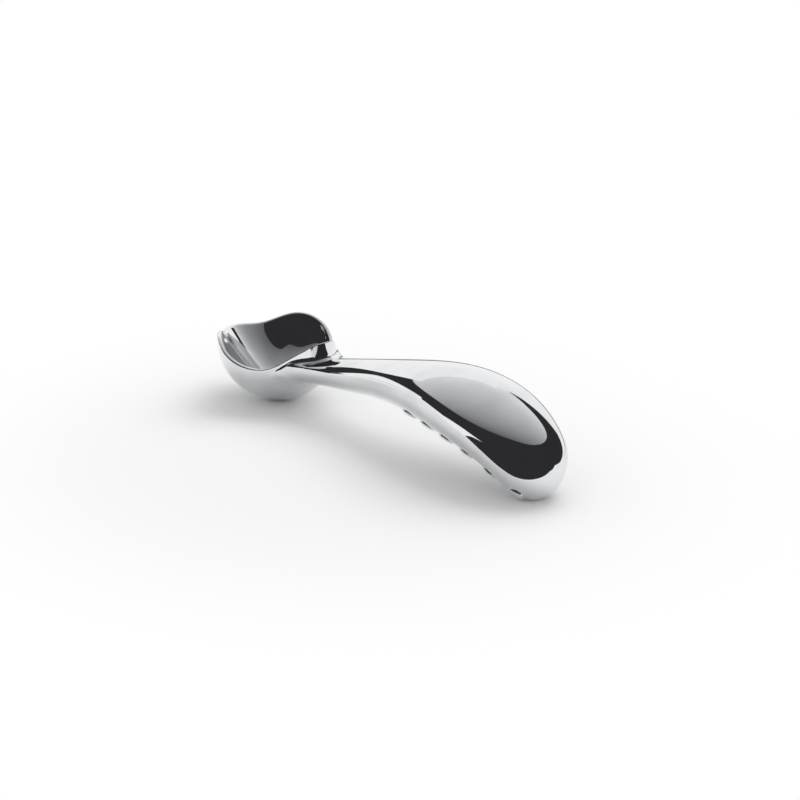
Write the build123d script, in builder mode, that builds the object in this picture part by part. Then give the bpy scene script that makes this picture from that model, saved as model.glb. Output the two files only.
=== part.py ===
from build123d import *
from math import acos, cos, pi, radians, sin, sqrt, tan
import os

# Ice cream scoop: one chromed casting with a core under the palm, closed by a plate between two rows of studs.
# Sizes are millimetres. "Along" is a distance from the bowl's upright axis towards the butt, a setback is a
# distance from the butt back towards the bowl, and heights are above the surface that the scoop lies on.
# X runs from bowl to butt, and the scoop is alike at +Y and -Y.

# Bowl seen from above: a kite with soft corners
nose_reach = 30.5
tail_reach = 31.5
tip_round = 8.0
front_flank_share = 0.87
back_flank_share = 0.83

# Bowl seen from the side
bowl_depth = 27.0
bowl_foot_cut = 1.0
bowl_draw_share = 1.43
bowl_wall = 1.9
bowl_floor = 7.0
hollow_flat = 0.2
hollow_draw_share = 1.8

# Waved rim: low at the lip, high at the wings, low at the dips and highest behind, over the neck
lip_setback = 4.5
lip_height = 25.7
wing_along = -11.5
wing_height = 30.9
dip_along = 12.0
dip_height = 20.4
peak_overrun = 4.5
peak_over_neck = 4.7
rim_stock = 5.0

# Handle seen from the side: the back line and the underside line, from inside the bowl to the butt
root_along = 14.0
root_back_height = 20.5
root_under_height = 12.5
neck_along = 48.0
neck_back_height = 28.8
neck_under_height = 15.4
neck_to_arch = 28.0
arch_back_height = 35.1
arch_under_height = 17.4
arch_to_crown = 28.0
crown_height = 39.4
arch_to_belly = 36.0
belly_height = 12.7
butt_reach = 157.5
butt_height = 13.0
shoulder_setback = 22.5
shoulder_back_height = 33.3
shoulder_under_height = 4.8
heel_setback = 10.0
heel_foot_cut = 0.7

# Handle seen from above and in section
neck_half_width = 8.7
palm_half_width = 20.0
palm_setback = 35.5
waist_share = 0.66
neck_blend_radius = 3.0

# Round studs on the underside, one row along each edge
studs_per_row = 6
stud_pitch = 11.0
stud_end_setback = 12.5
stud_row_share = 0.6
stud_radius = 3.2
stud_proud = 0.8
stud_seat_depth = 0.8
stud_edge_round = 0.3
stud_peg_radius = 1.2
stud_peg_length = 3.0

# Core under the palm and the plate that closes it
plate_end_setback = 31.5
plate_span = 36.0
plate_to_studs = 1.2
plate_thickness = 2.4
gasket_thickness = 0.8
gasket_ledge = 1.8
boss_radius = 4.5
core_wall = 4.0
fit_gap = 0.1

# Countersunk screws
screw_radius = 1.5
screw_head_radius = 2.8
screw_head_angle = 90.0
screw_length = 12.0
hex_socket_radius = 1.0
hex_socket_depth = 1.2

# How many sections shape each loft, and how many points shape each curve
bowl_steps = 7
flank_steps = 10
wave_steps = 24
handle_steps = 13

# Places that follow from the sizes. The origin lies half way between the lip and the butt.
bowl_axis_x = (nose_reach - butt_reach) / 2
arch_along = neck_along + neck_to_arch
palm_along = butt_reach - palm_setback
plate_back_along = butt_reach - plate_end_setback
plate_front_along = plate_back_along - plate_span
peak_height = neck_back_height + peak_over_neck
stock_height = max(lip_height, wing_height, peak_height) + rim_stock
recess_depth = plate_thickness + gasket_thickness

os.makedirs("parts", exist_ok=True)


def at(along):
    """Turn a distance from the bowl's axis into an X coordinate."""
    return bowl_axis_x + along


def plan_half_width(along):
    """Half width of the bowl's mouth, as two flanks that meet softly at the wings."""
    front = front_flank_share * (along + nose_reach)
    back = back_flank_share * (tail_reach - along)
    rise = front * back / (front**3 + back**3) ** (1 / 3)
    return sqrt(rise * (rise + 2 * tip_round))


def bowl_section(height, scale):
    """Level section of the bowl: the mouth's closed curve, scaled about the bowl's axis."""
    middle = (tail_reach - nose_reach) / 2
    half_length = (tail_reach + nose_reach) / 2
    flank = []
    for step in range(1, flank_steps):
        along = middle - half_length * cos(pi * step / flank_steps)
        flank.append((at(along * scale), plan_half_width(along) * scale))
    far_flank = [(x, -y) for x, y in reversed(flank)]
    nose = (at(-nose_reach * scale), 0)
    tail = (at(tail_reach * scale), 0)
    with BuildSketch(Plane.XY.offset(height)) as section:
        with BuildLine():
            Spline(nose, *flank, tail, *far_flank, periodic=True)
        make_face()
    return section.sketch


def bowl_sections(bottom, start, share, draw_share):
    """Sections of a bowl that draws in to its bottom, from a flat at the start height up past the rim."""
    depth = bowl_depth - bottom
    first_turn = acos(1 - (start - bottom) / depth)
    sections = []
    for step in range(bowl_steps + 1):
        turn = first_turn + (pi / 2 - first_turn) * step / bowl_steps
        height = bottom + depth * (1 - cos(turn))
        sections.append(bowl_section(height, share * sin(turn) ** draw_share))
    sections.append(bowl_section(stock_height, share))
    return sections


def rim_height(along):
    """Height of the rim: half a cosine wave from each crest to the next hollow."""
    turns = [
        (lip_setback - nose_reach, lip_height),
        (wing_along, wing_height),
        (dip_along, dip_height),
        (tail_reach + peak_overrun, peak_height),
    ]
    for (start, start_height), (end, end_height) in zip(turns, turns[1:]):
        if along <= end:
            share = max((along - start) / (end - start), 0)
            return start_height + (end_height - start_height) * (1 - cos(pi * share)) / 2
    return peak_height


def handle_half_width(along):
    """Half width of the handle: narrow at the neck, swelling to the palm, rounding off at the butt."""
    if along >= palm_along:
        share = (along - palm_along) / palm_setback
        return palm_half_width * sqrt(max(1 - share**2, 0))
    share = max((along - neck_along) / (palm_along - neck_along), 0)
    swell = share * share * (3 - 2 * share)
    return neck_half_width + (palm_half_width - neck_half_width) * swell


with BuildLine(Plane.XZ) as back_line:
    Spline(
        (at(root_along), root_back_height),
        (at(neck_along), neck_back_height),
        (at(arch_along), arch_back_height),
        (at(arch_along + arch_to_crown), crown_height),
        (at(butt_reach - shoulder_setback), shoulder_back_height),
        (at(butt_reach), butt_height),
        tangents=[(neck_along - root_along, neck_back_height - root_back_height), (0, -1)],
    )

with BuildLine(Plane.XZ) as under_line:
    Spline(
        (at(root_along), root_under_height),
        (at(neck_along), neck_under_height),
        (at(arch_along), arch_under_height),
        (at(arch_along + arch_to_belly), belly_height),
        (at(butt_reach - shoulder_setback), shoulder_under_height),
        (at(butt_reach - heel_setback), -heel_foot_cut),
        (at(butt_reach), butt_height),
        tangents=[(neck_along - root_along, neck_under_height - root_under_height), (0, 1)],
    )


def handle_section(share):
    """Section of the handle, spanned between the back line and the underside line."""
    top = back_line.line @ share
    bottom = under_line.line @ share
    waist = bottom + (top - bottom) * waist_share
    half_width = handle_half_width(waist.X - bowl_axis_x)
    across = Vector(0, 1, 0)
    plane = Plane(origin=waist, x_dir=across, z_dir=across.cross(top - bottom))
    with BuildSketch(plane) as section:
        with BuildLine():
            EllipticalCenterArc((0, 0), half_width, (top - waist).length, start_angle=0, arc_size=180)
            EllipticalCenterArc((0, 0), half_width, (waist - bottom).length, start_angle=180, arc_size=180)
        make_face()
    return section.sketch


# Solid bowl, its rim cut to the wave
with BuildPart() as bowl_blank:
    loft(bowl_sections(-bowl_foot_cut, 0, 1, bowl_draw_share))
    with BuildSketch(Plane.XZ):
        with BuildLine():
            wave_start = -nose_reach - rim_stock
            wave_step = (tail_reach + rim_stock - wave_start) / wave_steps
            stations = [wave_start + wave_step * step for step in range(wave_steps + 1)]
            wave = Spline(*[(at(along), rim_height(along)) for along in stations])
            above = stock_height + rim_stock
            Polyline(wave @ 0, (at(stations[0]), above), (at(stations[-1]), above), wave @ 1)
        make_face()
    extrude(amount=nose_reach + tail_reach, both=True, mode=Mode.SUBTRACT)

# Hollow of the bowl
with BuildPart() as hollow:
    hollow_share = 1 - bowl_wall / plan_half_width(0)
    loft(bowl_sections(bowl_floor, bowl_floor + hollow_flat, hollow_share, hollow_draw_share))

# Solid handle, its sections closer together towards the butt
with BuildPart() as handle_blank:
    shares = [sin(pi / 2 * step / handle_steps) for step in range(handle_steps)]
    butt_tip = Vertex(at(butt_reach), 0, butt_height)
    loft([handle_section(share) for share in shares] + [butt_tip])


def underside_plane(along, across):
    """Plane on the handle's underside, facing out."""
    upward = Axis((at(along), across, 0), (0, 0, 1))
    hits = handle_blank.part.shell().find_intersection_points(upward)
    point, normal = min(hits, key=lambda hit: hit[0].Z)
    return Plane(origin=point, x_dir=(1, 0, 0), z_dir=normal)


def stud_row_offset(along):
    """Distance of a stud row from the middle line."""
    return stud_row_share * handle_half_width(along)


def plate_outline(inset):
    """Outline of the closing plate seen from below, clear of the studs and drawn in by an inset."""
    with BuildSketch(Plane.XY) as outline:
        for along in (plate_front_along, plate_back_along):
            with Locations((at(along), 0)):
                Circle(stud_row_offset(along) - stud_radius - plate_to_studs - inset)
        make_hull()
    return outline.sketch


def underside_layer(outline, start, end):
    """Slab inside an outline that follows the underside, between two depths."""
    with BuildPart() as layer:
        extrude(outline, amount=crown_height, both=True)
        add(handle_blank.part.moved(Pos(0, 0, start)), mode=Mode.INTERSECT)
        add(handle_blank.part.moved(Pos(0, 0, end)), mode=Mode.SUBTRACT)
    return layer.part


screw_places = [underside_plane(along, 0).location for along in (plate_front_along, plate_back_along)]
stud_places = []
for number in range(studs_per_row):
    stud_along = butt_reach - stud_end_setback - stud_pitch * number
    for side in (-1, 1):
        stud_places.append(underside_plane(stud_along, side * stud_row_offset(stud_along)).location)

# The core lies between the two screw bosses, inside the gasket's ledge
with BuildSketch(Plane.XY) as core_outline:
    add(plate_outline(gasket_ledge))
    with Locations((at(plate_front_along + plate_span / 2), 0)):
        Rectangle(plate_span - 2 * boss_radius, 2 * palm_half_width, mode=Mode.INTERSECT)

with BuildPart() as core:
    extrude(core_outline.sketch, amount=crown_height, both=True)
    add(handle_blank.part.moved(Pos(0, 0, -core_wall)), mode=Mode.INTERSECT)

# Casting: bowl, neck and palm in one, flat where it rests
with BuildPart() as scoop_body:
    add(bowl_blank.part)
    add(handle_blank.part)
    fillet(scoop_body.edges(Select.NEW), radius=neck_blend_radius)
    add(hollow.part, mode=Mode.SUBTRACT)
    split(bisect_by=Plane.XY, keep=Keep.TOP)
    add(underside_layer(plate_outline(0), -recess_depth, recess_depth), mode=Mode.SUBTRACT)
    add(core.part, mode=Mode.SUBTRACT)
    with Locations(*screw_places):
        Hole(screw_radius + fit_gap, depth=screw_length + fit_gap)
    with Locations(*stud_places):
        CounterBoreHole(
            stud_peg_radius + fit_gap,
            stud_radius + fit_gap,
            stud_seat_depth,
            depth=stud_seat_depth + stud_peg_length + fit_gap,
        )

# Plate that closes the core, flush with the underside
with BuildPart() as grip_plate:
    add(underside_layer(plate_outline(fit_gap), 0, plate_thickness))
    with Locations(*screw_places):
        CounterSinkHole(
            screw_radius + fit_gap,
            screw_head_radius + fit_gap,
            depth=screw_length,
            counter_sink_angle=screw_head_angle,
        )

# Seal between the plate and the ledge round the core
with BuildPart() as plate_gasket:
    add(underside_layer(plate_outline(fit_gap), plate_thickness, recess_depth))
    extrude(core_outline.sketch, amount=crown_height, both=True, mode=Mode.SUBTRACT)
    with Locations(*screw_places):
        Hole(screw_radius + fit_gap, depth=screw_length)

# One screw, head up, and its copies in the plate
with BuildPart() as screw:
    head_height = (screw_head_radius - screw_radius) / tan(radians(screw_head_angle / 2))
    hanging = (Align.CENTER, Align.CENTER, Align.MAX)
    Cylinder(screw_radius, screw_length, align=hanging)
    Cone(screw_radius, screw_head_radius, head_height, align=hanging)
    with BuildSketch(Plane.XY):
        RegularPolygon(hex_socket_radius, 6)
    extrude(amount=-hex_socket_depth, mode=Mode.SUBTRACT)

with BuildPart() as plate_screws:
    with Locations(*screw_places):
        add(screw.part)

# One stud, pad up, and its copies along both rows
with BuildPart() as stud:
    with Locations((0, 0, -stud_seat_depth)):
        Cylinder(stud_radius, stud_seat_depth + stud_proud, align=(Align.CENTER, Align.CENTER, Align.MIN))
        Cylinder(stud_peg_radius, stud_peg_length, align=hanging)
    fillet(stud.edges().group_by(Axis.Z)[-1], radius=stud_edge_round)

with BuildPart() as grip_studs:
    with Locations(*stud_places):
        add(stud.part)

scoop_body.part.label = "scoop_body"
export_step(scoop_body.part, "parts/scoop_body.step")
grip_plate.part.label = "grip_plate"
export_step(grip_plate.part, "parts/grip_plate.step")
plate_gasket.part.label = "plate_gasket"
export_step(plate_gasket.part, "parts/plate_gasket.step")
plate_screws.part.label = "plate_screws"
export_step(plate_screws.part, "parts/plate_screws.step")
grip_studs.part.label = "grip_studs"
export_step(grip_studs.part, "parts/grip_studs.step")
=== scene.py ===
from math import cos, pi, radians, sin

import bmesh
import bpy
import numpy as np
from bpy.props import FloatProperty, FloatVectorProperty, IntProperty, PointerProperty
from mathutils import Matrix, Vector
from mathutils.bvhtree import BVHTree


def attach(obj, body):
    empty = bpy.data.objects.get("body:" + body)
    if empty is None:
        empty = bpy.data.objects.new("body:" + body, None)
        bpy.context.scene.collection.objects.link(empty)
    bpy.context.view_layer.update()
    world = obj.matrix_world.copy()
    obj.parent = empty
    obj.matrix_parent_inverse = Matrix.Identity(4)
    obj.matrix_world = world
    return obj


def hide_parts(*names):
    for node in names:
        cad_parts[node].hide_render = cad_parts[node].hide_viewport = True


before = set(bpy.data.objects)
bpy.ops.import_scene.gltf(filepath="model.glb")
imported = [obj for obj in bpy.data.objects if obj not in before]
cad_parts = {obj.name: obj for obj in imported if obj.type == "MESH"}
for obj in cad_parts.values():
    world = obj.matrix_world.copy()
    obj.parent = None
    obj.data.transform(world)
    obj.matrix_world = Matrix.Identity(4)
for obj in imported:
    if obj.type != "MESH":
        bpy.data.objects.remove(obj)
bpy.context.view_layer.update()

bl_info = {
    "name": "Ice cream scoop",
    "version": (1, 0, 0),
    "blender": (4, 5, 0),
    "location": "3D View > Sidebar > Scoop",
    "description": "Dresses the packed scoop as a chromed casting and sets up its studio stage",
    "category": "Object",
}

# "Along" is a distance from the bowl's upright axis towards the butt, as in the part's source.


def linear(hex_colour):
    """Turn an sRGB hex colour into linear red, green, blue and alpha."""
    channels = [int(hex_colour[place:place + 2], 16) / 255 for place in (1, 3, 5)]
    steps = [c / 12.92 if c <= 0.04045 else ((c + 0.055) / 1.055) ** 2.4 for c in channels]
    return (*steps, 1.0)


def length(name, description, millimetres):
    """A size in Blender's own unit, its default given in millimetres."""
    default = millimetres / 1000
    return FloatProperty(name=name, description=description, default=default, precision=5, unit="LENGTH")


def number(name, description, default):
    """A plain number."""
    return FloatProperty(name=name, description=description, default=default)


def angle(name, description, degrees):
    """An angle, its default given in degrees."""
    return FloatProperty(name=name, description=description, default=radians(degrees), subtype="ANGLE")


def colour(name, description, hex_colour):
    """A colour, its default given as sRGB hex."""
    default = linear(hex_colour)
    return FloatVectorProperty(name=name, description=description, default=default, size=4, subtype="COLOR")


class BowlSizes(bpy.types.PropertyGroup):
    """Sizes of the bowl and its waved rim."""
    nose_reach: length("Nose reach", "From the bowl's axis to the lip", 30.5)
    tail_reach: length("Tail reach", "From the bowl's axis to the back of the rim", 31.5)
    tip_round: length("Tip round", "Rounding of the bowl's two ends seen from above", 8)
    front_flank: number("Front flank", "Spread of the front flank", 0.87)
    back_flank: number("Back flank", "Spread of the back flank", 0.83)
    depth: length("Depth", "Height at which the bowl's walls stand upright", 27)
    foot_cut: length("Foot cut", "How much of the round bottom the flat foot takes off", 1)
    draw_share: number("Draw", "How the bowl draws in below, 1 is round", 1.43)
    wall: length("Wall", "Thickness of the bowl at its wings", 1.9)
    floor: length("Floor", "Thickness of the bowl at its foot", 7)
    hollow_draw: number("Hollow draw", "How the hollow draws in below, 1 is round", 1.8)
    lip_dish: number("Lip dish", "Power of the hollow's slope at the lip", 1.4)
    lip_spread: number("Lip spread", "How much of the lip's slope is left at the wings", 0.15)
    lip_reach: number("Lip reach", "How far round from the wings the lip's slope is in full", 0.8)
    bottom_soft: number("Bottom", "How softly the hollow's slopes meet at its bottom", 0.07)
    lip_setback: length("Lip setback", "From the lip back to where the rim starts to climb", 4.5)
    lip_height: length("Lip height", "Height of the rim at the lip", 25.7)
    wing_along: length("Wing place", "Place of the wings along the bowl", -11.5)
    wing_height: length("Wing height", "Height of the rim at the wings", 30.9)
    dip_along: length("Dip place", "Place of the dips along the bowl", 12)
    dip_height: length("Dip height", "Height of the rim at the dips", 20.4)
    peak_overrun: length("Peak overrun", "How far behind the rim its last wave would end", 4.5)
    peak_height: length("Peak height", "Height at which the rim's last wave would end", 33.5)
    edge_round: length("Edge round", "Rounding of the rim's outer edge", 0.8)
    edge_bevel: length("Edge bevel", "Softened inner edge of the rim", 0.6)


class HandleSizes(bpy.types.PropertyGroup):
    """Sizes of the neck, the palm and the butt."""
    root_along: length("Root place", "Where the handle starts, inside the bowl", 14)
    root_back: length("Root back", "Height of the back line at the root", 20.5)
    root_under: length("Root underside", "Height of the underside line at the root", 12.5)
    neck_along: length("Neck place", "Place of the narrowest neck", 48)
    neck_back: length("Neck back", "Height of the back line at the neck", 28.8)
    neck_under: length("Neck underside", "Height of the underside line at the neck", 15.4)
    neck_to_arch: length("Neck to arch", "From the neck to the top of the finger arch", 28)
    arch_back: length("Arch back", "Height of the back line over the arch", 35.1)
    arch_under: length("Arch underside", "Height of the finger arch", 17.4)
    arch_to_crown: length("Arch to crown", "From the arch to the highest point of the palm", 28)
    crown: length("Crown", "Height of the palm's highest point", 39.35)
    arch_to_belly: length("Arch to belly", "From the arch to the palm's belly", 36)
    belly: length("Belly", "Height of the belly", 12.7)
    butt_reach: length("Butt reach", "From the bowl's axis to the butt", 157.5)
    butt_height: length("Butt height", "Height of the butt's tip", 13)
    shoulder_setback: length("Shoulder setback", "From the butt back to the shoulder", 22.5)
    shoulder_back: length("Shoulder back", "Height of the back line at the shoulder", 33.3)
    shoulder_under: length("Shoulder underside", "Height of the underside line at the shoulder", 4.8)
    heel_setback: length("Heel setback", "From the butt back to the heel that rests on the table", 10)
    heel_cut: length("Heel cut", "How much of the round heel the flat foot takes off", 0.7)
    neck_half_width: length("Neck half width", "Half the width of the neck", 8.7)
    neck_flare: length("Neck flare", "How much wider each side of the neck is where it reaches the rim", 7)
    flare_start: length("Flare start", "Where the neck's widest line reaches the rim", 20)
    flare_end: length("Flare end", "Where the neck starts to widen towards the bowl", 43)
    flare_power: number("Flare power", "How late the neck widens, 1 is evenly", 2.4)
    waist_climb: length("Waist climb", "How much higher the widest line runs where it reaches the rim", 4.6)
    climb_power: number("Climb power", "How late the widest line climbs, 1 is evenly", 1.3)
    waist_below_rim: length("Waist below rim", "How far below the rim the widest line stays", 2)
    least_rise: length("Least rise", "Least rise of the neck's back over its widest line", 1.5)
    palm_half_width: length("Palm half width", "Half the width of the palm", 20)
    palm_setback: length("Palm setback", "From the butt back to the palm's widest place", 35.5)
    waist_share: number("Waist share", "Height of the widest line, from underside to back", 0.66)
    neck_blend: length("Neck blend", "Reach of the soft blend between neck and bowl", 3)


class GripSizes(bpy.types.PropertyGroup):
    """Sizes of the studs and of the seat of the closing plate."""
    studs_per_row: IntProperty(name="Studs per row", description="Studs along each edge", default=6, min=1)
    stud_pitch: length("Stud pitch", "From one stud to the next", 11)
    stud_end_setback: length("Stud end setback", "From the butt back to the last stud", 12.5)
    stud_row_share: number("Stud row share", "Place of a row on the half width", 0.6)
    stud_radius: length("Stud radius", "Radius of a stud", 3.2)
    stud_proud: length("Stud proud", "How far a stud stands out of the underside", 0.8)
    stud_seat: length("Stud seat", "How deep a stud sits in the casting", 0.8)
    stud_edge_round: length("Stud edge round", "Height of a stud's rounded edge", 0.78)
    stud_edge_run: length("Stud edge run", "How far in a stud's rounded edge reaches", 2.4)
    plate_end_setback: length("Plate end setback", "From the butt back to the plate's rear screw", 31.5)
    plate_span: length("Plate span", "From one plate screw to the other", 36)
    plate_to_studs: length("Plate to studs", "Clear space between the plate and the studs", 1.2)
    seat_depth: length("Plate seat depth", "Depth of the plate and its seal", 3.2)


class Finishes(bpy.types.PropertyGroup):
    """Colours of the metals and the seal."""
    chrome: colour("Chrome", "Bright chrome plate", "#E9EAEB")
    chrome_haze: colour("Chrome haze", "Chrome where handling has left a film", "#DCDDDF")
    satin: colour("Satin chrome", "Chrome over a brushed plate", "#D6D8DA")
    steel: colour("Steel", "Stainless steel of the screws", "#B9BBBD")
    rubber: colour("Rubber", "Black nitrile rubber of the seal", "#1B1B1C")


class StageSettings(bpy.types.PropertyGroup):
    """Camera, lamps and colours of the studio."""
    azimuth: angle("Azimuth", "Turn of the camera round the scoop", 46.51)
    elevation: angle("Elevation", "Tilt of the camera above the paper", 20)
    distance: length("Distance", "From the camera to the point it looks at", 650)
    aim_along: length("Aim place", "Place along the scoop that the camera looks at", 74.7)
    aim_height: length("Aim height", "Height that the camera looks at", 18.61)
    lens: number("Lens", "Focal length in millimetres", 74.93)
    paper: colour("Paper", "White paper under the scoop", "#F7F7F7")
    shadow_radius: length("Shadow radius", "How far out the paper keeps the scoop's shadow", 75)
    white_radius: length("White radius", "Where the paper has turned to plain white", 190)
    paper_edge: length("Paper edge", "From the middle to the front edge that the chrome mirrors", 65)
    room: colour("Room", "Dark room in front of the paper", "#303032")
    sheet: colour("Sheet", "White sheets that the chrome mirrors", "#FFFFFF")
    overhead_dim: colour("Overhead, dim", "Overhead sheet at its dim end, towards the camera", "#606264")
    strip: colour("Strip", "Grey strip behind the scoop", "#8A8C8E")
    room_light: number("Room light", "Strength of the even light", 0.75)
    softbox_power: number("Softbox", "Power of the soft lamp in watts", 4.2)


class ScoopForm:
    """The casting's shape, worked out from the sizes in the way the part's source does."""

    def __init__(self, bowl, handle):
        self.bowl = bowl
        self.handle = handle
        self.axis_x = (bowl.nose_reach - handle.butt_reach) / 2
        self.palm_along = handle.butt_reach - handle.palm_setback
        arch_along = handle.neck_along + handle.neck_to_arch
        neck_run = handle.neck_along - handle.root_along
        self.back_line = smooth_line(
            [
                (handle.root_along, handle.root_back),
                (handle.neck_along, handle.neck_back),
                (arch_along, handle.arch_back),
                (arch_along + handle.arch_to_crown, handle.crown),
                (handle.butt_reach - handle.shoulder_setback, handle.shoulder_back),
                (handle.butt_reach, handle.butt_height),
            ],
            (neck_run, handle.neck_back - handle.root_back),
            (0, -1),
        )
        self.under_line = smooth_line(
            [
                (handle.root_along, handle.root_under),
                (handle.neck_along, handle.neck_under),
                (arch_along, handle.arch_under),
                (arch_along + handle.arch_to_belly, handle.belly),
                (handle.butt_reach - handle.shoulder_setback, handle.shoulder_under),
                (handle.butt_reach - handle.heel_setback, -handle.heel_cut),
                (handle.butt_reach, handle.butt_height),
            ],
            (neck_run, handle.neck_under - handle.root_under),
            (0, 1),
        )
        middle = (bowl.tail_reach - bowl.nose_reach) / 2
        half_length = (bowl.tail_reach + bowl.nose_reach) / 2
        mouth_samples = 4001
        along = middle + half_length * np.cos(np.linspace(0, pi, mouth_samples))
        half_width = self.mouth_half_width(along)
        self.mouth_turns = np.arctan2(half_width, along)
        self.mouth_radii = np.hypot(along, half_width)

    def mouth_half_width(self, along):
        """Half width of the bowl's mouth, as two flanks that meet softly at the wings."""
        front = self.bowl.front_flank * np.maximum(along + self.bowl.nose_reach, 0)
        back = self.bowl.back_flank * np.maximum(self.bowl.tail_reach - along, 0)
        rise = front * back / np.cbrt(front**3 + back**3)
        return np.sqrt(rise * (rise + 2 * self.bowl.tip_round))

    def mouth_radius(self, turn):
        """Radius of the bowl's mouth at a turn from the tail."""
        return np.interp(turn, self.mouth_turns, self.mouth_radii)

    def level_share(self, height, bottom):
        """Share of the mouth that the bowl has reached at a height."""
        lift = np.clip((height - bottom) / (self.bowl.depth - bottom), 0, 1)
        return (lift * (2 - lift)) ** (self.bowl.draw_share / 2)

    def rim_height(self, along):
        """Height of the rim: half a cosine wave from each crest to the next hollow."""
        bowl = self.bowl
        turns = [
            (bowl.lip_setback - bowl.nose_reach, bowl.lip_height),
            (bowl.wing_along, bowl.wing_height),
            (bowl.dip_along, bowl.dip_height),
            (bowl.tail_reach + bowl.peak_overrun, bowl.peak_height),
        ]
        height = bowl.lip_height + np.zeros_like(along)
        for (start, start_height), (end, end_height) in zip(turns, turns[1:]):
            share = np.clip((along - start) / (end - start), 0, 1)
            height = height + (end_height - start_height) * (1 - np.cos(pi * share)) / 2
        return height

    def handle_half_width(self, along):
        """Half width of the handle: narrow at the neck, swelling to the palm, rounding off at the butt."""
        handle = self.handle
        beyond = np.clip((along - self.palm_along) / handle.palm_setback, 0, 1)
        share = np.clip((along - handle.neck_along) / (self.palm_along - handle.neck_along), 0, 1)
        swell = ease(share)
        flare = handle.neck_flare * self.flare_share(along) ** handle.flare_power
        width = handle.neck_half_width + flare + (handle.palm_half_width - handle.neck_half_width) * swell
        return width * np.sqrt(1 - beyond**2)

    def flare_share(self, along):
        """Go from 0 on the neck to 1 where its widest line reaches the rim."""
        run = self.handle.flare_end - self.handle.flare_start
        return np.clip((self.handle.flare_end - along) / run, 0, 1)

    def handle_ring(self, share, chord):
        """One section of the handle as points from the back line down to the underside line."""
        top = self.back_line(share)
        bottom = self.under_line(share)
        waist = bottom + (top - bottom) * self.handle.waist_share
        half_width = self.handle_half_width(waist[0])
        place = bottom + (top - bottom) * chord[:, None]
        across = half_width * section_width(chord, self.handle.waist_share)
        return np.column_stack((place[:, 0], across, place[:, 1]))

    def handle_place(self, along, height):
        """Half width, and place on the section's upright line, of the handle's section through a point."""
        front_part, samples = 0.4, 260
        shares = np.linspace(0, front_part, samples)
        top = self.back_line(shares)
        bottom = self.under_line(shares)
        line = top - bottom
        side = (along.ravel()[:, None] - bottom[:, 0]) * line[:, 1]
        side -= (height.ravel()[:, None] - bottom[:, 1]) * line[:, 0]
        before = np.clip((side > 0).sum(axis=1) - 1, 0, len(shares) - 2)
        rows = np.arange(len(before))
        here, there = side[rows, before], side[rows, before + 1]
        share = shares[before] + (shares[1] - shares[0]) * np.clip(here / (here - there), 0, 1)
        top = self.back_line(share)
        bottom = self.under_line(share)
        span = np.linalg.norm(top - bottom, axis=1)
        waist = bottom + (top - bottom) * self.handle.waist_share
        ahead = np.where(along.ravel() < self.handle.root_along, along.ravel(), waist[:, 0])
        half_width = self.handle_half_width(ahead)
        edge_height = self.rim_height(ahead) - self.bowl.edge_round
        climb = self.handle.waist_climb * self.flare_share(ahead) ** self.handle.climb_power
        climb = np.minimum(climb, edge_height - self.handle.waist_below_rim - waist[:, 1])
        upright = (height.ravel() - waist[:, 1]) * span / (top - bottom)[:, 1] - climb
        above = np.maximum((1 - self.handle.waist_share) * span - climb, self.handle.least_rise)
        reach = np.where(upright > 0, above, self.handle.waist_share * span + climb)
        return [values.reshape(along.shape) for values in (half_width, upright, reach)]

    def gap(self, along, across, height, section):
        """How far a point lies outside bowl and handle, with a soft blend where they meet."""
        turn = np.arctan2(np.abs(across), along)
        bowl_gap = np.hypot(along, across)
        bowl_gap = bowl_gap - self.mouth_radius(turn) * self.level_share(height, -self.bowl.foot_cut)
        handle = self.handle
        half_width, upright, reach = section
        once = np.hypot(across / half_width, upright / reach)
        twice = np.hypot(across / half_width**2, upright / reach**2)
        handle_gap = once * (once - 1) / np.maximum(twice, 1)
        handle_gap = np.where(along < 0, 1, handle_gap)
        near = np.maximum(1 - np.abs(bowl_gap - handle_gap) / handle.neck_blend, 0)
        below_rim = self.rim_height(along) - height
        fade = ease(along / self.bowl.dip_along) * ease(below_rim / (2 * self.bowl.wall))
        return np.minimum(bowl_gap, handle_gap) - fade * near**3 * handle.neck_blend / 6

    def outline_hits(self, origin, turns, reach):
        """Where rays in the scoop's middle plane first cross its outline."""
        ray_steps, halvings = 160, 40
        steps = np.linspace(0, reach, ray_steps)
        ray = np.column_stack((np.cos(turns), np.sin(turns)))

        def gap_at(distance):
            along = origin[0] + ray[:, 0] * distance
            height = origin[1] + ray[:, 1] * distance
            return self.gap(along, np.zeros_like(along), height, self.handle_place(along, height))

        outside = np.array([gap_at(np.full(len(turns), step)) > 0 for step in steps])
        found = (outside != outside[0]).argmax(axis=0)
        near, far = steps[found - 1], steps[found]
        for _ in range(halvings):
            middle = (near + far) / 2
            changed = (gap_at(middle) > 0) != outside[0]
            near, far = np.where(changed, near, middle), np.where(changed, middle, far)
        return np.array(origin) + ray * far[:, None]

    def outline(self, origin, start, end, reach, count):
        """Evenly spaced points of the middle outline, from one ray's turn to another's."""
        samples = 240
        turns = np.linspace(start, end, samples)
        hits = self.outline_hits(origin, turns, reach)
        run = np.concatenate(([0], np.cumsum(np.linalg.norm(np.diff(hits, axis=0), axis=1))))
        even = np.interp(np.linspace(0, run[-1], count + 1), run, turns)
        return self.outline_hits(origin, even, reach)

    def half_widths(self, along, height):
        """Half width of the casting at points of its middle plane."""
        halvings = 44
        section = self.handle_place(along, height)
        near = np.zeros_like(along)
        far = np.full_like(along, 2 * self.handle.palm_half_width)
        for _ in range(halvings):
            middle = (near + far) / 2
            outside = self.gap(along, middle, height, section) > 0
            near, far = np.where(outside, near, middle), np.where(outside, middle, far)
        return far


def ease(share):
    """Go from 0 to 1 with a gentle start and end."""
    share = np.clip(share, 0, 1)
    return share * share * (3 - 2 * share)


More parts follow.
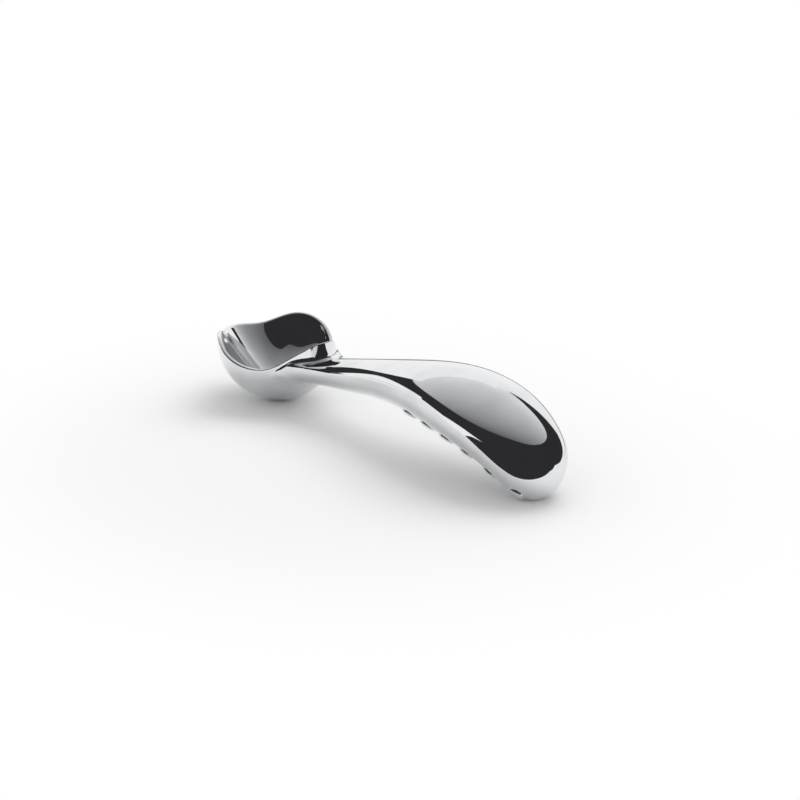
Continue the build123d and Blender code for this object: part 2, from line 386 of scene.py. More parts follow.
def smooth_line(points, start_slope, end_slope):
    """A smooth line through points, with a given direction at each end, as a function of its share."""
    points = np.array(points, float)
    steps = np.linalg.norm(np.diff(points, axis=0), axis=1)
    matrix = np.eye(len(points))
    right = np.zeros_like(points)
    right[0] = np.array(start_slope) / np.hypot(*start_slope)
    right[-1] = np.array(end_slope) / np.hypot(*end_slope)
    for place in range(1, len(points) - 1):
        before, after = steps[place - 1], steps[place]
        matrix[place, place - 1:place + 2] = after, 2 * (before + after), before
        right[place] = 3 * after / before * (points[place] - points[place - 1])
        right[place] += 3 * before / after * (points[place + 1] - points[place])
    slopes = np.linalg.solve(matrix, right)
    dense, samples = [], 1200
    for place, step in enumerate(steps):
        t = np.linspace(0, 1, samples, endpoint=False)[:, None]
        dense.append(
            (1 + 2 * t) * (1 - t) ** 2 * points[place]
            + t * (1 - t) ** 2 * step * slopes[place]
            + t**2 * (3 - 2 * t) * points[place + 1]
            + t**2 * (t - 1) * step * slopes[place + 1]
        )
    dense = np.vstack(dense + [points[-1:]])
    run = np.concatenate(([0], np.cumsum(np.linalg.norm(np.diff(dense, axis=0), axis=1))))
    run /= run[-1]

    def place_at(share):
        return np.stack((np.interp(share, run, dense[:, 0]), np.interp(share, run, dense[:, 1])), axis=-1)

    return place_at


def section_width(chord, waist_share):
    """Half width of a handle section, as a share of its widest, along the line from underside to back."""
    reach = np.where(chord > waist_share, 1 - waist_share, waist_share)
    return np.sqrt(np.maximum(1 - ((chord - waist_share) / reach) ** 2, 0))


def both_sides(half_ring):
    """Close a ring that runs down one side with its mirror image up the other."""
    mirrored = half_ring[-2:0:-1] * np.array([1, -1, 1])
    return np.vstack((half_ring, mirrored))


def handle_rings(form, neck_share, chord, count):
    """Rings from the butt to the neck."""
    rings = []
    closer_at_butt = 1.2
    for step in range(1, count):
        share = neck_share + (1 - neck_share) * (1 - (step / count) ** closer_at_butt)
        rings.append(both_sides(form.handle_ring(share, chord)))
    return rings


def bowl_rings(form, neck_share, chord, count):
    """Rings that fan out from the neck, round under the bowl, to just below the rim."""
    bowl = form.bowl
    drop = bowl.edge_round
    neck_top = form.back_line(neck_share)
    neck_bottom = form.under_line(neck_share)
    tail_height = float(form.rim_height(bowl.tail_reach)) - drop
    lip_height = bowl.lip_height - drop
    lip_along = -bowl.nose_reach * float(form.level_share(lip_height, -bowl.foot_cut))
    above_neck = (neck_top[0], tail_height)
    top_reach, bottom_reach, lip_run = 0.02, 0.06, 0.004
    tops = form.outline(above_neck, 1.5 * pi, pi, top_reach, count)
    inside = (0, 0.02)
    start = np.arctan2(neck_bottom[1] - inside[1], neck_bottom[0])
    end = np.arctan2(lip_height - inside[1], lip_along) - 2 * pi
    bottoms = form.outline(inside, start, end, bottom_reach, count)
    tops[0], bottoms[0] = neck_top, neck_bottom
    share = np.linspace(0, 1, count + 1)[:, None]
    along = bottoms[:, :1] + (tops - bottoms)[:, :1] * chord
    height = bottoms[:, 1:] + (tops - bottoms)[:, 1:] * chord
    last_rise = (tops[-1, 1] - bottoms[-1, 1]) / (tops[-1, 0] - bottoms[-1, 0])
    straight = bottoms[-1, 1] + (along - bottoms[-1, 0]) * last_rise
    within = np.clip((tops[-1, 0] - along) / lip_run, 0, 1)
    settled = np.clip(2 * share - 1, 0, 1) ** 2
    height = height + settled * within * (form.rim_height(along) - drop - straight)
    height[:, 0], height[:, -1] = tops[:, 1], bottoms[:, 1]
    across = np.zeros_like(along)
    across[:, 1:-1] = form.half_widths(along[:, 1:-1], height[:, 1:-1])
    return [both_sides(np.column_stack(ring)) for ring in zip(along[1:], across[1:], height[1:])]


def rim_and_hollow(form, outer, rim_steps, hollow_steps):
    """Rings over the rim's rounded edges and down the hollow, inward from the bowl's outer ring."""
    bowl = form.bowl
    turn = np.arctan2(np.abs(outer[:, 1]), outer[:, 0])
    side = np.where(outer[:, 1] < 0, -1, 1)
    mouth = form.mouth_radius(turn)
    half_width = float(form.mouth_half_width(np.array(0.0)))
    inner_share = 1 - bowl.wall / half_width
    half_length = (bowl.nose_reach + bowl.tail_reach) / 2
    round_radius = 1 / np.hypot(np.cos(turn) / half_length, np.sin(turn) / half_width)
    corner_radius = mouth * form.level_share(outer[:, 2] + bowl.edge_round, -bowl.foot_cut)
    corner_along = corner_radius * np.cos(turn)
    corner_across = side * corner_radius * np.sin(turn)
    corner = np.column_stack((corner_along, corner_across, form.rim_height(corner_along)))
    inner_radius = inner_share * corner_radius
    inner_height = form.rim_height(inner_radius * np.cos(turn))
    gentle = ease(bowl.lip_spread - np.cos(turn) / bowl.lip_reach)

    def hollow_point(share):
        """Point of the hollow: share 0 is its bottom and 1 its sharp upper edge."""
        kite = ease(share)
        radius = share * (kite * inner_radius + (1 - kite) * inner_share * round_radius)
        climbed = 1 - np.sqrt(np.maximum(1 - share ** (2 / bowl.hollow_draw), 0))
        climbed = climbed + gentle * (share**bowl.lip_dish - climbed)
        soft = bowl.bottom_soft
        climbed = (np.hypot(climbed, soft) - soft) / (np.hypot(1, soft) - soft)
        height = bowl.floor + (inner_height - bowl.floor) * climbed
        return np.column_stack((radius * np.cos(turn), side * radius * np.sin(turn), height))

    inner_corner = hollow_point(1.0)
    width = np.linalg.norm(inner_corner - corner, axis=1)[:, None]
    land_start = corner + (inner_corner - corner) * bowl.edge_round / width
    land_end = inner_corner + (corner - inner_corner) * bowl.edge_bevel / width
    bevel_share = bowl.edge_bevel / (inner_height - bowl.floor)
    first_share = (1 - bevel_share**2) ** (bowl.hollow_draw / 2)
    first_share = first_share + gentle * ((1 - bevel_share) ** (1 / bowl.lip_dish) - first_share)
    wall_start = hollow_point(first_share)
    rings = []
    for start, bend, end in ((outer, corner, land_start), (land_end, inner_corner, wall_start)):
        for step in range(rim_steps + 1):
            share = step / rim_steps
            rings.append((1 - share) ** 2 * start + 2 * share * (1 - share) * bend + share**2 * end)
    for step in range(1, hollow_steps):
        rings.append(hollow_point(first_share * np.cos(pi / 2 * step / hollow_steps)))
    return rings[1:]


def casting_mesh(form):
    """Mesh of the whole casting as one closed skin, from the butt's tip to the bottom of the hollow."""
    bowl, handle = form.bowl, form.handle
    side_points, handle_count, bowl_count, rim_steps, hollow_steps = 73, 150, 130, 6, 60
    chord = (1 + np.cos(np.linspace(0, pi, side_points))) / 2
    front_half, samples = 0.5, 2001
    shares = np.linspace(0, front_half, samples)
    neck_share = float(np.interp(handle.neck_along, form.back_line(shares)[:, 0], shares))
    rings = handle_rings(form, neck_share, chord, handle_count)
    rings.append(both_sides(form.handle_ring(neck_share, chord)))
    rings += bowl_rings(form, neck_share, chord, bowl_count)
    rings += rim_and_hollow(form, rings[-1], rim_steps, hollow_steps)
    size = len(rings[0])
    tip = np.array([[handle.butt_reach, 0, handle.butt_height]])
    pole = np.array([[0, 0, bowl.floor]])
    points = np.vstack([tip] + rings + [pole])
    points[:, 0] += form.axis_x
    points[:, 2] = np.maximum(points[:, 2], 0)
    faces = []
    for place in range(size):
        beside = (place + 1) % size
        faces.append((0, 1 + place, 1 + beside))
        for ring in range(len(rings) - 1):
            here = 1 + ring * size
            faces.append((here + place, here + size + place, here + size + beside, here + beside))
        last = 1 + (len(rings) - 1) * size
        faces.append((last + place, len(points) - 1, last + beside))
    mesh = bpy.data.meshes.new("casting")
    mesh.from_pydata(points.tolist(), [], faces)
    return mesh


def plate_seat_gap(form, grip, along, across):
    """How far a place on the underside lies outside the plate's seat: a hull round two circles."""
    back = form.handle.butt_reach - grip.plate_end_setback
    front = back - grip.plate_span
    clear = grip.stud_radius + grip.plate_to_studs
    front_radius = grip.stud_row_share * float(form.handle_half_width(np.array(front))) - clear
    back_radius = grip.stud_row_share * float(form.handle_half_width(np.array(back))) - clear
    lean = (back_radius - front_radius) / grip.plate_span
    up = (1 - lean**2) ** 0.5
    x, y = along - front, abs(across)
    place = x * up + y * lean
    if place < 0:
        return Vector((x, y)).length - front_radius
    if place > grip.plate_span * up:
        return Vector((x - grip.plate_span, y)).length - back_radius
    return y * up - x * lean - front_radius


def sink_plate_seat(mesh, form, grip):
    """Sink the seat of the closing plate into the underside, with crisp edges."""
    downward, crease, tiny = -0.2, radians(50), 1e-5
    work = bmesh.new()
    work.from_mesh(mesh)
    bmesh.ops.recalc_face_normals(work, faces=work.faces)
    skin = BVHTree.FromBMesh(work)

    def gap_at(x, y):
        return plate_seat_gap(form, grip, x - form.axis_x, y)

    seat = []
    for face in work.faces:
        middle = face.calc_center_median()
        if face.normal.z < downward and middle.x > form.axis_x + form.handle.neck_along:
            if gap_at(middle.x, middle.y) < 0:
                seat.append(face)
    chosen = set(seat)
    border = [e for face in seat for e in face.edges if sum(f in chosen for f in e.link_faces) == 1]
    for vertex in {v for edge in border for v in edge.verts}:
        gap = gap_at(vertex.co.x, vertex.co.y)
        slope_x = (gap_at(vertex.co.x + tiny, vertex.co.y) - gap) / tiny
        slope_y = (gap_at(vertex.co.x, vertex.co.y + tiny) - gap) / tiny
        x, y = vertex.co.x - gap * slope_x, vertex.co.y - gap * slope_y
        hit = skin.ray_cast(Vector((x, y, -1)), Vector((0, 0, 1)))[0]
        vertex.co = hit
    for edge in border:
        edge.smooth = False
    moved = bmesh.ops.extrude_face_region(work, geom=seat)["geom"]
    bmesh.ops.delete(work, geom=[face for face in seat if face.is_valid], context="FACES_ONLY")
    seat_corners = [item for item in moved if isinstance(item, bmesh.types.BMVert)]
    bmesh.ops.translate(work, vec=(0, 0, grip.seat_depth), verts=seat_corners)
    for face in work.faces:
        face.smooth = True
    for edge in work.edges:
        if edge.is_manifold and edge.calc_face_angle() > crease:
            edge.smooth = False
    bmesh.ops.recalc_face_normals(work, faces=work.faces)
    work.to_mesh(mesh)
    work.free()


def add_node(tree, kind, settings=None, links=None):
    """Add one node: settings name a property or an input, links name an input and the socket it reads."""
    node = tree.nodes.new(kind)
    for key, value in (settings or {}).items():
        if isinstance(key, str) and hasattr(node, key):
            setattr(node, key, value)
        else:
            node.inputs[key].default_value = value
    for key, source in (links or {}).items():
        tree.links.new(source, node.inputs[key])
    return node


def new_material(name):
    """An empty material and its node tree."""
    material = bpy.data.materials.new(name)
    material.use_nodes = True
    material.node_tree.nodes.clear()
    return material, material.node_tree


def bright_chrome(name, finish, least_blur, most_blur):
    """Bright chrome, electroplated on buffed zinc: it mirrors the studio, sharply where it isn't worn.

    Buffing leaves the metal very slightly wavy over about 14 mm, and handling leaves faint films some 20 mm
    across that blur the mirror a little.
    """
    material, tree = new_material(name)
    place = add_node(tree, "ShaderNodeTexCoord").outputs["Object"]
    film = add_node(
        tree,
        "ShaderNodeTexNoise",
        {"Scale": 1 / 0.020, "Detail": 4, "Roughness": 0.6},
        {"Vector": place},
    )
    film_share = add_node(
        tree,
        "ShaderNodeMapRange",
        {"From Min": 0.42, "From Max": 0.72, "To Min": 0, "To Max": 1},
        {"Value": film.outputs["Fac"]},
    )
    tint = add_node(
        tree,
        "ShaderNodeMix",
        {"data_type": "RGBA", 6: finish.chrome, 7: finish.chrome_haze},
        {0: film_share.outputs["Result"]},
    )
    blur = add_node(
        tree,
        "ShaderNodeMapRange",
        {"From Min": 0, "From Max": 1, "To Min": least_blur, "To Max": most_blur},
        {"Value": film_share.outputs["Result"]},
    )
    wave = add_node(tree, "ShaderNodeTexNoise", {"Scale": 1 / 0.014, "Detail": 1}, {"Vector": place})
    bump = add_node(
        tree,
        "ShaderNodeBump",
        {"Strength": 0.02, "Distance": 0.0004},
        {"Height": wave.outputs["Fac"]},
    )
    shader = add_node(
        tree,
        "ShaderNodeBsdfPrincipled",
        {"Metallic": 1},
        {
            "Base Color": tint.outputs[2],
            "Roughness": blur.outputs["Result"],
            "Normal": bump.outputs["Normal"],
        },
    )
    add_node(tree, "ShaderNodeOutputMaterial", links={"Surface": shader.outputs["BSDF"]})
    return material


def grained_finish(name, surface, stretch, grain, detail, blur, relief, depth):
    """A finish whose fine grain, in metres, sets how far it blurs what it mirrors and how rough it is."""
    material, tree = new_material(name)
    place = add_node(tree, "ShaderNodeTexCoord").outputs["Object"]
    stretched = add_node(tree, "ShaderNodeMapping", {"Scale": stretch}, {"Vector": place})
    noise = {"Scale": 1 / grain, "Detail": detail}
    pattern = add_node(tree, "ShaderNodeTexNoise", noise, {"Vector": stretched.outputs["Vector"]})
    height = pattern.outputs["Fac"]
    blurred = add_node(tree, "ShaderNodeMapRange", {"To Min": blur[0], "To Max": blur[1]}, {"Value": height})
    bump = add_node(tree, "ShaderNodeBump", {"Strength": relief, "Distance": depth}, {"Height": height})
    shader = add_node(
        tree,
        "ShaderNodeBsdfPrincipled",
        surface,
        {"Roughness": blurred.outputs["Result"], "Normal": bump.outputs["Normal"]},
    )
    add_node(tree, "ShaderNodeOutputMaterial", links={"Surface": shader.outputs["BSDF"]})
    return material


def satin_chrome(name, tone):
    """Chrome over a brushed closing plate: it mirrors softly, drawn out along the handle.

    The brush lines are about 0.1 mm apart and are drawn at 0.4 mm so that they show.
    """
    surface = {"Metallic": 1, "Base Color": tone}
    return grained_finish(name, surface, (0.03, 1, 1), 0.0004, 3, (0.14, 0.3), 0.12, 0.00005)


def turned_steel(name, tone):
    """Stainless steel, cold headed and tumbled: a greyer, duller metal with pits about 0.3 mm across."""
    surface = {"Metallic": 1, "Base Color": tone}
    return grained_finish(name, surface, (1, 1, 1), 0.0003, 3, (0.22, 0.42), 0.15, 0.00004)


def moulded_rubber(name, tone):
    """Moulded nitrile rubber: nearly black and matt, with a fine mould texture of about 0.5 mm."""
    surface = {"Base Color": tone, "IOR": 1.52}
    return grained_finish(name, surface, (1, 1, 1), 0.0005, 2, (0.6, 0.8), 0.2, 0.00005)


def stud_tree(finish):
    """Geometry nodes that set a round pad with a rounded edge on each point, along its facing."""
    tree = bpy.data.node_groups.new("stud rows", "GeometryNodeTree")
    tree.interface.new_socket("Places", in_out="INPUT", socket_type="NodeSocketGeometry")
    for name in ("Radius", "Proud", "Seat", "Edge round", "Edge run"):
        tree.interface.new_socket(name, in_out="INPUT", socket_type="NodeSocketFloat")
    tree.interface.new_socket("Studs", in_out="OUTPUT", socket_type="NodeSocketGeometry")
    given = add_node(tree, "NodeGroupInput").outputs
    height = add_node(tree, "ShaderNodeMath", {"operation": "ADD"}, {0: given["Proud"], 1: given["Seat"]})
    straight = add_node(
        tree,
        "ShaderNodeMath",
        {"operation": "SUBTRACT"},
        {0: height.outputs[0], 1: given["Edge round"]},
    )
    pad = add_node(
        tree,
        "GeometryNodeMeshCylinder",
        {"Vertices": 48, "Side Segments": 2},
        {"Radius": given["Radius"], "Depth": straight.outputs[0]},
    )
    shape, top = pad.outputs["Mesh"], pad.outputs["Top"]
    steps = 7
    for step in range(1, steps + 1):
        turn, last_turn = pi / 2 * step / steps, pi / 2 * (step - 1) / steps
        lift = add_node(
            tree,
            "ShaderNodeMath",
            {"operation": "MULTIPLY", 1: sin(turn) - sin(last_turn)},
            {0: given["Edge round"]},
        )
        pulled = add_node(
            tree,
            "GeometryNodeExtrudeMesh",
            {"mode": "FACES", "Individual": False},
            {"Mesh": shape, "Selection": top, "Offset Scale": lift.outputs[0]},
        )
        narrowings = []
        for bend in (turn, last_turn):
            draw_in = add_node(
                tree,
                "ShaderNodeMath",
                {"operation": "MULTIPLY", 1: 1 - cos(bend)},
                {0: given["Edge run"]},
            )
            narrowings.append(
                add_node(
                    tree,
                    "ShaderNodeMath",
                    {"operation": "SUBTRACT"},
                    {0: given["Radius"], 1: draw_in.outputs[0]},
                )
            )
        ratio = add_node(
            tree,
            "ShaderNodeMath",
            {"operation": "DIVIDE"},
            {0: narrowings[0].outputs[0], 1: narrowings[1].outputs[0]},
        )
        narrowed = add_node(
            tree,
            "GeometryNodeScaleElements",
            {"domain": "FACE"},
            {
                "Geometry": pulled.outputs["Mesh"],
                "Selection": pulled.outputs["Top"],
                "Scale": ratio.outputs[0],
            },
        )
        shape, top = narrowed.outputs["Geometry"], pulled.outputs["Top"]
    half = add_node(tree, "ShaderNodeMath", {"operation": "MULTIPLY", 1: 0.5}, {0: straight.outputs[0]})
    sunk = add_node(
        tree,
        "ShaderNodeMath",
        {"operation": "SUBTRACT"},
        {0: half.outputs[0], 1: given["Seat"]},
    )
    offset = add_node(tree, "ShaderNodeCombineXYZ", links={"Z": sunk.outputs[0]})
    seated = add_node(
        tree,
        "GeometryNodeTransform",
        links={"Geometry": shape, "Translation": offset.outputs["Vector"]},
    )
    stored = {"data_type": "FLOAT_VECTOR", "Name": "facing"}
    facing = add_node(tree, "GeometryNodeInputNamedAttribute", stored)
    turned = add_node(
        tree,
        "FunctionNodeAlignRotationToVector",
        {"axis": "Z"},
        {"Vector": facing.outputs["Attribute"]},
    )
    rows = add_node(
        tree,
        "GeometryNodeInstanceOnPoints",
        links={
            "Points": given["Places"],
            "Instance": seated.outputs["Geometry"],
            "Rotation": turned.outputs["Rotation"],
        },
    )
    real = add_node(tree, "GeometryNodeRealizeInstances", links={"Geometry": rows.outputs["Instances"]})
    coated = add_node(
        tree,
        "GeometryNodeSetMaterial",
        {"Material": finish},
        {"Geometry": real.outputs["Geometry"]},
    )
    add_node(tree, "NodeGroupOutput", links={"Studs": coated.outputs["Geometry"]})
    return tree


def stand_for_node(piece, node):
    """Put a finished piece on the root body in place of a CAD node."""
    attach(piece, "root")
    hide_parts(node)


def dress_node(node, material):
    """Give a CAD node, which keeps its shape, a finish of its own."""
    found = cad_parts[node]
    found.data.materials.clear()
    found.data.materials.append(material)


class SCOOP_OT_casting(bpy.types.Operator):
    """Build the chromed casting: bowl, neck and palm in one skin, with the seat of the closing plate"""
    bl_idname = "scoop.casting"
    bl_label = "Casting"

    def execute(self, context):
        scene = context.scene
        form = ScoopForm(scene.scoop_bowl, scene.scoop_handle)
        mesh = casting_mesh(form)
        sink_plate_seat(mesh, form, scene.scoop_grip)
        casting = bpy.data.objects.new("chromed_casting", mesh)
        scene.collection.objects.link(casting)
        mesh.materials.append(bright_chrome("bright chrome plate", scene.scoop_finishes, 0.03, 0.075))
        stand_for_node(casting, "scoop_body")
        return {"FINISHED"}


class SCOOP_OT_studs(bpy.types.Operator):
    """Set the two rows of round studs into the underside"""
    bl_idname = "scoop.studs"
    bl_label = "Studs"

    def execute(self, context):
        scene = context.scene
        grip = scene.scoop_grip
        form = ScoopForm(scene.scoop_bowl, scene.scoop_handle)
        skin = BVHTree.FromObject(bpy.data.objects["chromed_casting"], context.evaluated_depsgraph_get())
        places, facings = [], []
        for step in range(grip.studs_per_row):
            along = form.handle.butt_reach - grip.stud_end_setback - grip.stud_pitch * step
            across = grip.stud_row_share * float(form.handle_half_width(np.array(along)))
            for side in (-1, 1):
                below = Vector((form.axis_x + along, side * across, -1))
                place, facing = skin.ray_cast(below, Vector((0, 0, 1)))[:2]
                if place is None:
                    raise RuntimeError("a stud found no underside above it")
                places.append(place)
                facings.append(facing)
        mesh = bpy.data.meshes.new("stud places")
        mesh.from_pydata(places, [], [])
        attribute = mesh.attributes.new("facing", "FLOAT_VECTOR", "POINT")
        attribute.data.foreach_set("vector", np.array(facings).ravel())
        studs = bpy.data.objects.new("grip_stud_rows", mesh)
        scene.collection.objects.link(studs)
        tree = stud_tree(bright_chrome("worn chrome studs", scene.scoop_finishes, 0.2, 0.3))
        modifier = studs.modifiers.new("stud rows", "NODES")
        modifier.node_group = tree
        sizes = {
            "Radius": grip.stud_radius,
            "Proud": grip.stud_proud,
            "Seat": grip.stud_seat,
            "Edge round": grip.stud_edge_round,
            "Edge run": grip.stud_edge_run,
        }
        for item in tree.interface.items_tree:
            if item.name in sizes:
                modifier[item.identifier] = sizes[item.name]
        made = bpy.data.meshes.new_from_object(studs.evaluated_get(context.evaluated_depsgraph_get()))
        studs.modifiers.remove(modifier)
        studs.data = made
        made.polygons.foreach_set("use_smooth", [True] * len(made.polygons))
        made.set_sharp_from_angle(angle=radians(40))
        stand_for_node(studs, "grip_studs")
        return {"FINISHED"}


class SCOOP_OT_plate(bpy.types.Operator):
    """Finish the closing plate, its seal and its screws, which keep their CAD shapes"""
    bl_idname = "scoop.plate"
    bl_label = "Closing plate, seal and screws"

    def execute(self, context):
        finish = context.scene.scoop_finishes
        dress_node("grip_plate", satin_chrome("satin chrome plate", finish.satin))
        dress_node("plate_gasket", moulded_rubber("moulded nitrile rubber", finish.rubber))
        dress_node("plate_screws", turned_steel("tumbled stainless steel", finish.steel))
        return {"FINISHED"}


def glow(name, tone):
    """A stage surface that shows one even tone, whatever light falls on it."""
    material, tree = new_material(name)
    shader = add_node(tree, "ShaderNodeEmission", {"Color": tone, "Strength": 1})
    add_node(tree, "ShaderNodeOutputMaterial", links={"Surface": shader.outputs["Emission"]})
    return material


def graded_glow(name, bright, dim, centre, towards, reach):
    """A stage surface that fades from a bright to a dim tone in one direction across its centre."""
    material, tree = new_material(name)
    place = add_node(tree, "ShaderNodeTexCoord").outputs["Object"]
    run = add_node(tree, "ShaderNodeVectorMath", {"operation": "DOT_PRODUCT", 1: towards}, {0: place})
    middle = Vector(centre).dot(Vector(towards))
    share = add_node(
        tree,
        "ShaderNodeMapRange",
        {"From Min": middle - reach, "From Max": middle + reach},
        {"Value": run.outputs["Value"]},
    )
    tone = add_node(
        tree,
        "ShaderNodeMix",
        {"data_type": "RGBA", 6: bright, 7: dim},
        {0: share.outputs["Result"]},
    )
    shader = add_node(tree, "ShaderNodeEmission", {"Strength": 1}, {"Color": tone.outputs[2]})
    add_node(tree, "ShaderNodeOutputMaterial", links={"Surface": shader.outputs["Emission"]})
    return material


def white_paper(tone, clear_radius, white_radius):
    """Matt white paper that keeps the scoop's shadow and, further out, shows as plain white.

    Only the camera and the chrome see that white: to the light on the scoop it is paper all over.
    """
    material, tree = new_material("matt white paper")
    place = add_node(tree, "ShaderNodeTexCoord").outputs["Object"]
    paper = add_node(tree, "ShaderNodeBsdfDiffuse", {"Color": tone})
    white = add_node(tree, "ShaderNodeEmission", {"Color": (1, 1, 1, 1), "Strength": 1})
    seen = seen_directly(tree)
    away = add_node(tree, "ShaderNodeVectorMath", {"operation": "LENGTH"}, {0: place})
    far = add_node(
        tree,
        "ShaderNodeMapRange",
        {"interpolation_type": "SMOOTHSTEP", "From Min": clear_radius, "From Max": white_radius},
        {"Value": away.outputs["Value"]},
    )
    share = add_node(tree, "ShaderNodeMath", {"operation": "MULTIPLY"}, {0: seen, 1: far.outputs["Result"]})
    shader = add_node(
        tree,
        "ShaderNodeMixShader",
        links={0: share.outputs[0], 1: paper.outputs["BSDF"], 2: white.outputs["Emission"]},
    )
    add_node(tree, "ShaderNodeOutputMaterial", links={"Surface": shader.outputs["Shader"]})
    return material


def seen_directly(tree):
    """A socket that is 1 for what the camera sees, also by way of metal or glass, and 0 for other light."""
    path = add_node(tree, "ShaderNodeLightPath").outputs
    mirrored = add_node(
        tree,
        "ShaderNodeMath",
        {"operation": "MAXIMUM"},
        {0: path["Is Glossy Ray"], 1: path["Is Transmission Ray"]},
    )
    seen = add_node(
        tree,
        "ShaderNodeMath",
        {"operation": "MAXIMUM"},
        {0: path["Is Camera Ray"], 1: mirrored.outputs[0]},
    )
    return seen.outputs[0]


def compass(azimuth):
    """Level direction at an azimuth in degrees, where 0 faces -Y and 90 faces +X."""
    return Vector((sin(radians(azimuth)), -cos(radians(azimuth)), 0))


def stage_sheet(name, points, faces, material, only_mirrored=True):
    """A sheet of the stage. One that only the chrome mirrors gives no light and throws no shadow."""
    mesh = bpy.data.meshes.new(name)
    mesh.from_pydata(points, [], faces)
    mesh.materials.append(material)
    sheet = bpy.data.objects.new(name, mesh)
    bpy.context.scene.collection.objects.link(sheet)
    if only_mirrored:
        sheet.visible_camera = False
        sheet.visible_diffuse = False
        sheet.visible_shadow = False


def floor_sheet(name, azimuth, start, end, half_width, height, material):
    """A level sheet that lies towards an azimuth, from one distance to another."""
    out, beside = compass(azimuth), compass(azimuth + 90)
    lift = Vector((0, 0, height))
    corners = [
        out * start - beside * half_width + lift,
        out * end - beside * half_width + lift,
        out * end + beside * half_width + lift,
        out * start + beside * half_width + lift,
    ]
    stage_sheet(name, corners, [(0, 1, 2, 3)], material)


def upright_sheet(name, radius, start, end, low, start_high, end_high, material):
    """A sheet that stands round the scoop between two azimuths, its top rising or falling on the way."""
    steps = 40
    points, faces = [], []
    for step in range(steps + 1):
        share = step / steps
        foot = compass(start + (end - start) * share) * radius
        points.append(foot + Vector((0, 0, low)))
        points.append(foot + Vector((0, 0, start_high + (end_high - start_high) * share)))
    for step in range(steps):
        place = 2 * step
        faces.append((place, place + 2, place + 3, place + 1))
    stage_sheet(name, points, faces, material)


def round_sheet(name, centre, radius, material):
    """A level round sheet."""
    steps = 96
    points = [Vector(centre) + compass(360 * step / steps) * radius for step in range(steps)]
    stage_sheet(name, points, [tuple(range(steps))], material)


def place_camera(scene, stage, axis_x):
    """Set the camera at the photograph's angle."""
    aim = Vector((axis_x + stage.aim_along, 0, stage.aim_height))
    level = cos(stage.elevation)
    back = Vector((sin(stage.azimuth) * level, -cos(stage.azimuth) * level, sin(stage.elevation)))
    lens = bpy.data.cameras.new("camera")
    lens.lens = stage.lens
    lens.sensor_width = 36
    lens.clip_start, lens.clip_end = 0.01, 50
    camera = bpy.data.objects.new("camera", lens)
    camera.location = aim + back * stage.distance
    camera.rotation_euler = (-back).to_track_quat("-Z", "Y").to_euler()
    scene.collection.objects.link(camera)
    scene.camera = camera


def light_studio(scene, stage):
    """Light the stage evenly from all round, and softly from high behind."""
    world = bpy.data.worlds.new("studio")
    world.use_nodes = True
    tree = world.node_tree
    tree.nodes.clear()
    strength = add_node(
        tree,
        "ShaderNodeMapRange",
        {"To Min": stage.room_light, "To Max": 1},
        {"Value": seen_directly(tree)},
    )
    sky = add_node(
        tree,
        "ShaderNodeBackground",
        {"Color": (1, 1, 1, 1)},
        {"Strength": strength.outputs["Result"]},
    )
    add_node(tree, "ShaderNodeOutputWorld", links={"Surface": sky.outputs["Background"]})
    scene.world = world
    lamp = bpy.data.lights.new("softbox", "AREA")
    lamp.shape = "SQUARE"
    lamp.size = 0.9
    lamp.energy = stage.softbox_power
    softbox = bpy.data.objects.new("softbox", lamp)
    softbox.location = (0, 0.5, 0.9)
    softbox.rotation_euler = softbox.location.to_track_quat("Z", "Y").to_euler()
    softbox.visible_glossy = False
    scene.collection.objects.link(softbox)


def surround_chrome(stage):
    """Stand the sheets that the chrome mirrors: a white tent behind and above, and a dark room in front."""
    floor_lift, card_lift = 0.0003, 0.0006
    dark = glow("dark room", stage.room)
    white = glow("white sheet", stage.sheet)
    grey = glow("grey strip", stage.strip)
    upright_sheet("room wall", 1.4, 0, 360, 0, 2.4, 2.4, dark)
    floor_sheet("room floor", 31, stage.paper_edge, 1.4, 1.4, floor_lift, dark)
    centre, radius = (-0.28, 0.21, 0.75), 0.83
    fading = graded_glow("overhead sheet", stage.sheet, stage.overhead_dim, centre, compass(40), radius)
    round_sheet("overhead sheet", centre, radius, fading)
    floor_sheet("front card", 10, 0.055, 0.15, 0.03, card_lift, white)
    upright_sheet("tent back", 0.9, -155, -98, 0, 0.75, 0.75, white)
    upright_sheet("tent left", 0.95, -100, -55, 0, 0.44, 0.17, white)
    upright_sheet("tent right", 0.95, 135, 180, 0, 0.0, 0.25, white)
    upright_sheet("tent corner", 0.95, 180, 207, 0, 0.25, 0.75, white)
    floor_sheet("rear strip", 226, 0.16, 0.85, 0.6, floor_lift, grey)


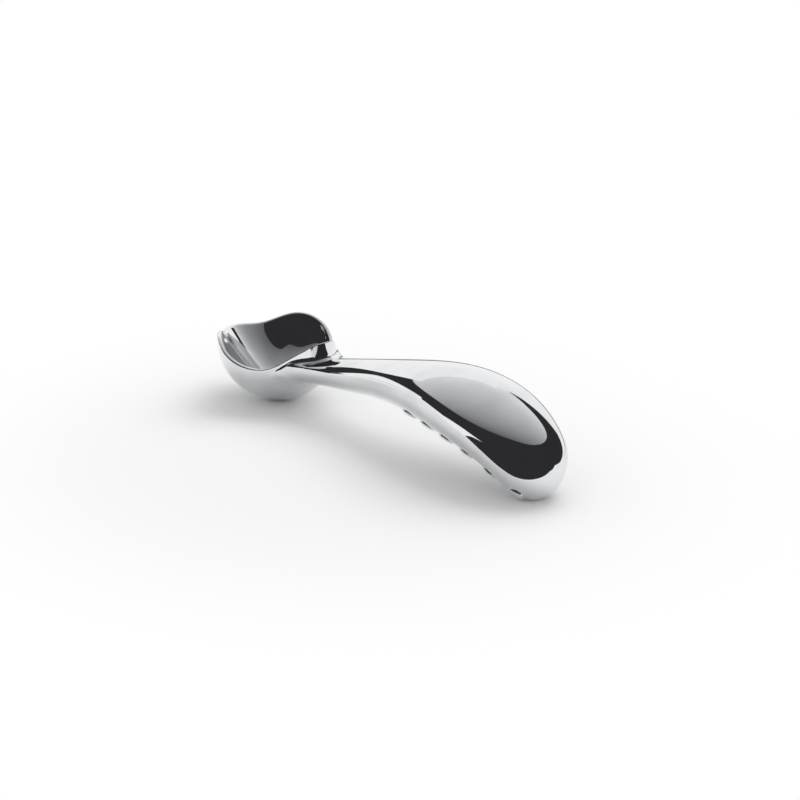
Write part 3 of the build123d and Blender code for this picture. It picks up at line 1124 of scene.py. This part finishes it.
class SCOOP_OT_stage(bpy.types.Operator):
    """Set the camera, the white paper, the lamps and the sheets that the chrome mirrors"""
    bl_idname = "scoop.stage"
    bl_label = "Studio stage"

    def execute(self, context):
        scene = context.scene
        stage = scene.scoop_stage
        place_camera(scene, stage, (scene.scoop_bowl.nose_reach - scene.scoop_handle.butt_reach) / 2)
        paper = white_paper(stage.paper, stage.shadow_radius, stage.white_radius)
        half = 4
        corners = [(-half, -half, 0), (half, -half, 0), (half, half, 0), (-half, half, 0)]
        stage_sheet("paper", corners, [(0, 1, 2, 3)], paper, only_mirrored=False)
        light_studio(scene, stage)
        surround_chrome(stage)
        scene.view_settings.view_transform = "Standard"
        return {"FINISHED"}


class SCOOP_PT_panel(bpy.types.Panel):
    """Lists the scoop's builders"""
    bl_idname = "SCOOP_PT_panel"
    bl_label = "Ice cream scoop"
    bl_space_type = "VIEW_3D"
    bl_region_type = "UI"
    bl_category = "Scoop"

    def draw(self, context):
        for operator in (SCOOP_OT_casting, SCOOP_OT_studs, SCOOP_OT_plate, SCOOP_OT_stage):
            self.layout.operator(operator.bl_idname)


groups = {
    "scoop_bowl": BowlSizes,
    "scoop_handle": HandleSizes,
    "scoop_grip": GripSizes,
    "scoop_finishes": Finishes,
    "scoop_stage": StageSettings,
}
classes = [SCOOP_OT_casting, SCOOP_OT_studs, SCOOP_OT_plate, SCOOP_OT_stage, SCOOP_PT_panel]


def register():
    """Register the classes and hang the sizes on the scene."""
    for name, group in groups.items():
        bpy.utils.register_class(group)
        setattr(bpy.types.Scene, name, PointerProperty(type=group))
    for made in classes:
        bpy.utils.register_class(made)


def unregister():
    """Take everything back."""
    for made in reversed(classes):
        bpy.utils.unregister_class(made)
    for name, group in groups.items():
        delattr(bpy.types.Scene, name)
        bpy.utils.unregister_class(group)


def main():
    """Build the pieces and the stage."""
    register()
    bpy.ops.scoop.casting()
    bpy.ops.scoop.studs()
    bpy.ops.scoop.plate()
    bpy.ops.scoop.stage()


if __name__ == "__main__":
    main()
